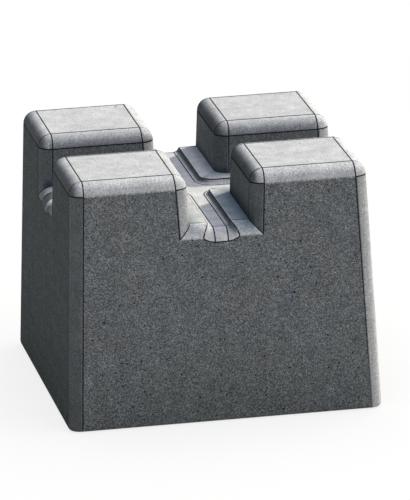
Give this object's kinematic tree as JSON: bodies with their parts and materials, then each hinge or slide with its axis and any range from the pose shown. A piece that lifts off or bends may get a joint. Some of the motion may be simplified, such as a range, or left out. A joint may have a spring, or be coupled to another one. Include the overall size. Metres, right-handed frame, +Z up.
{
  "type": "column base block",
  "caption": "Tapered square cast concrete block with a post at each corner, between crossing channels that seat joists, and a shallow groove along each channel floor.",
  "frame": {"origin": "middle of the underside, where the block meets the ground", "axes": "+Z up; +X and +Y along the channels, with -Y the wide side nearest the viewer in the picture and +X to its right"},
  "size_m": [0.25, 0.25, 0.198],
  "materials": {
    "concrete": "cast concrete, fine grained and matt, mid to dark grey with light and dark specks and small pores"
  },
  "bodies": {
    "root": {"base_block": "concrete"}
  },
  "joints": []
}
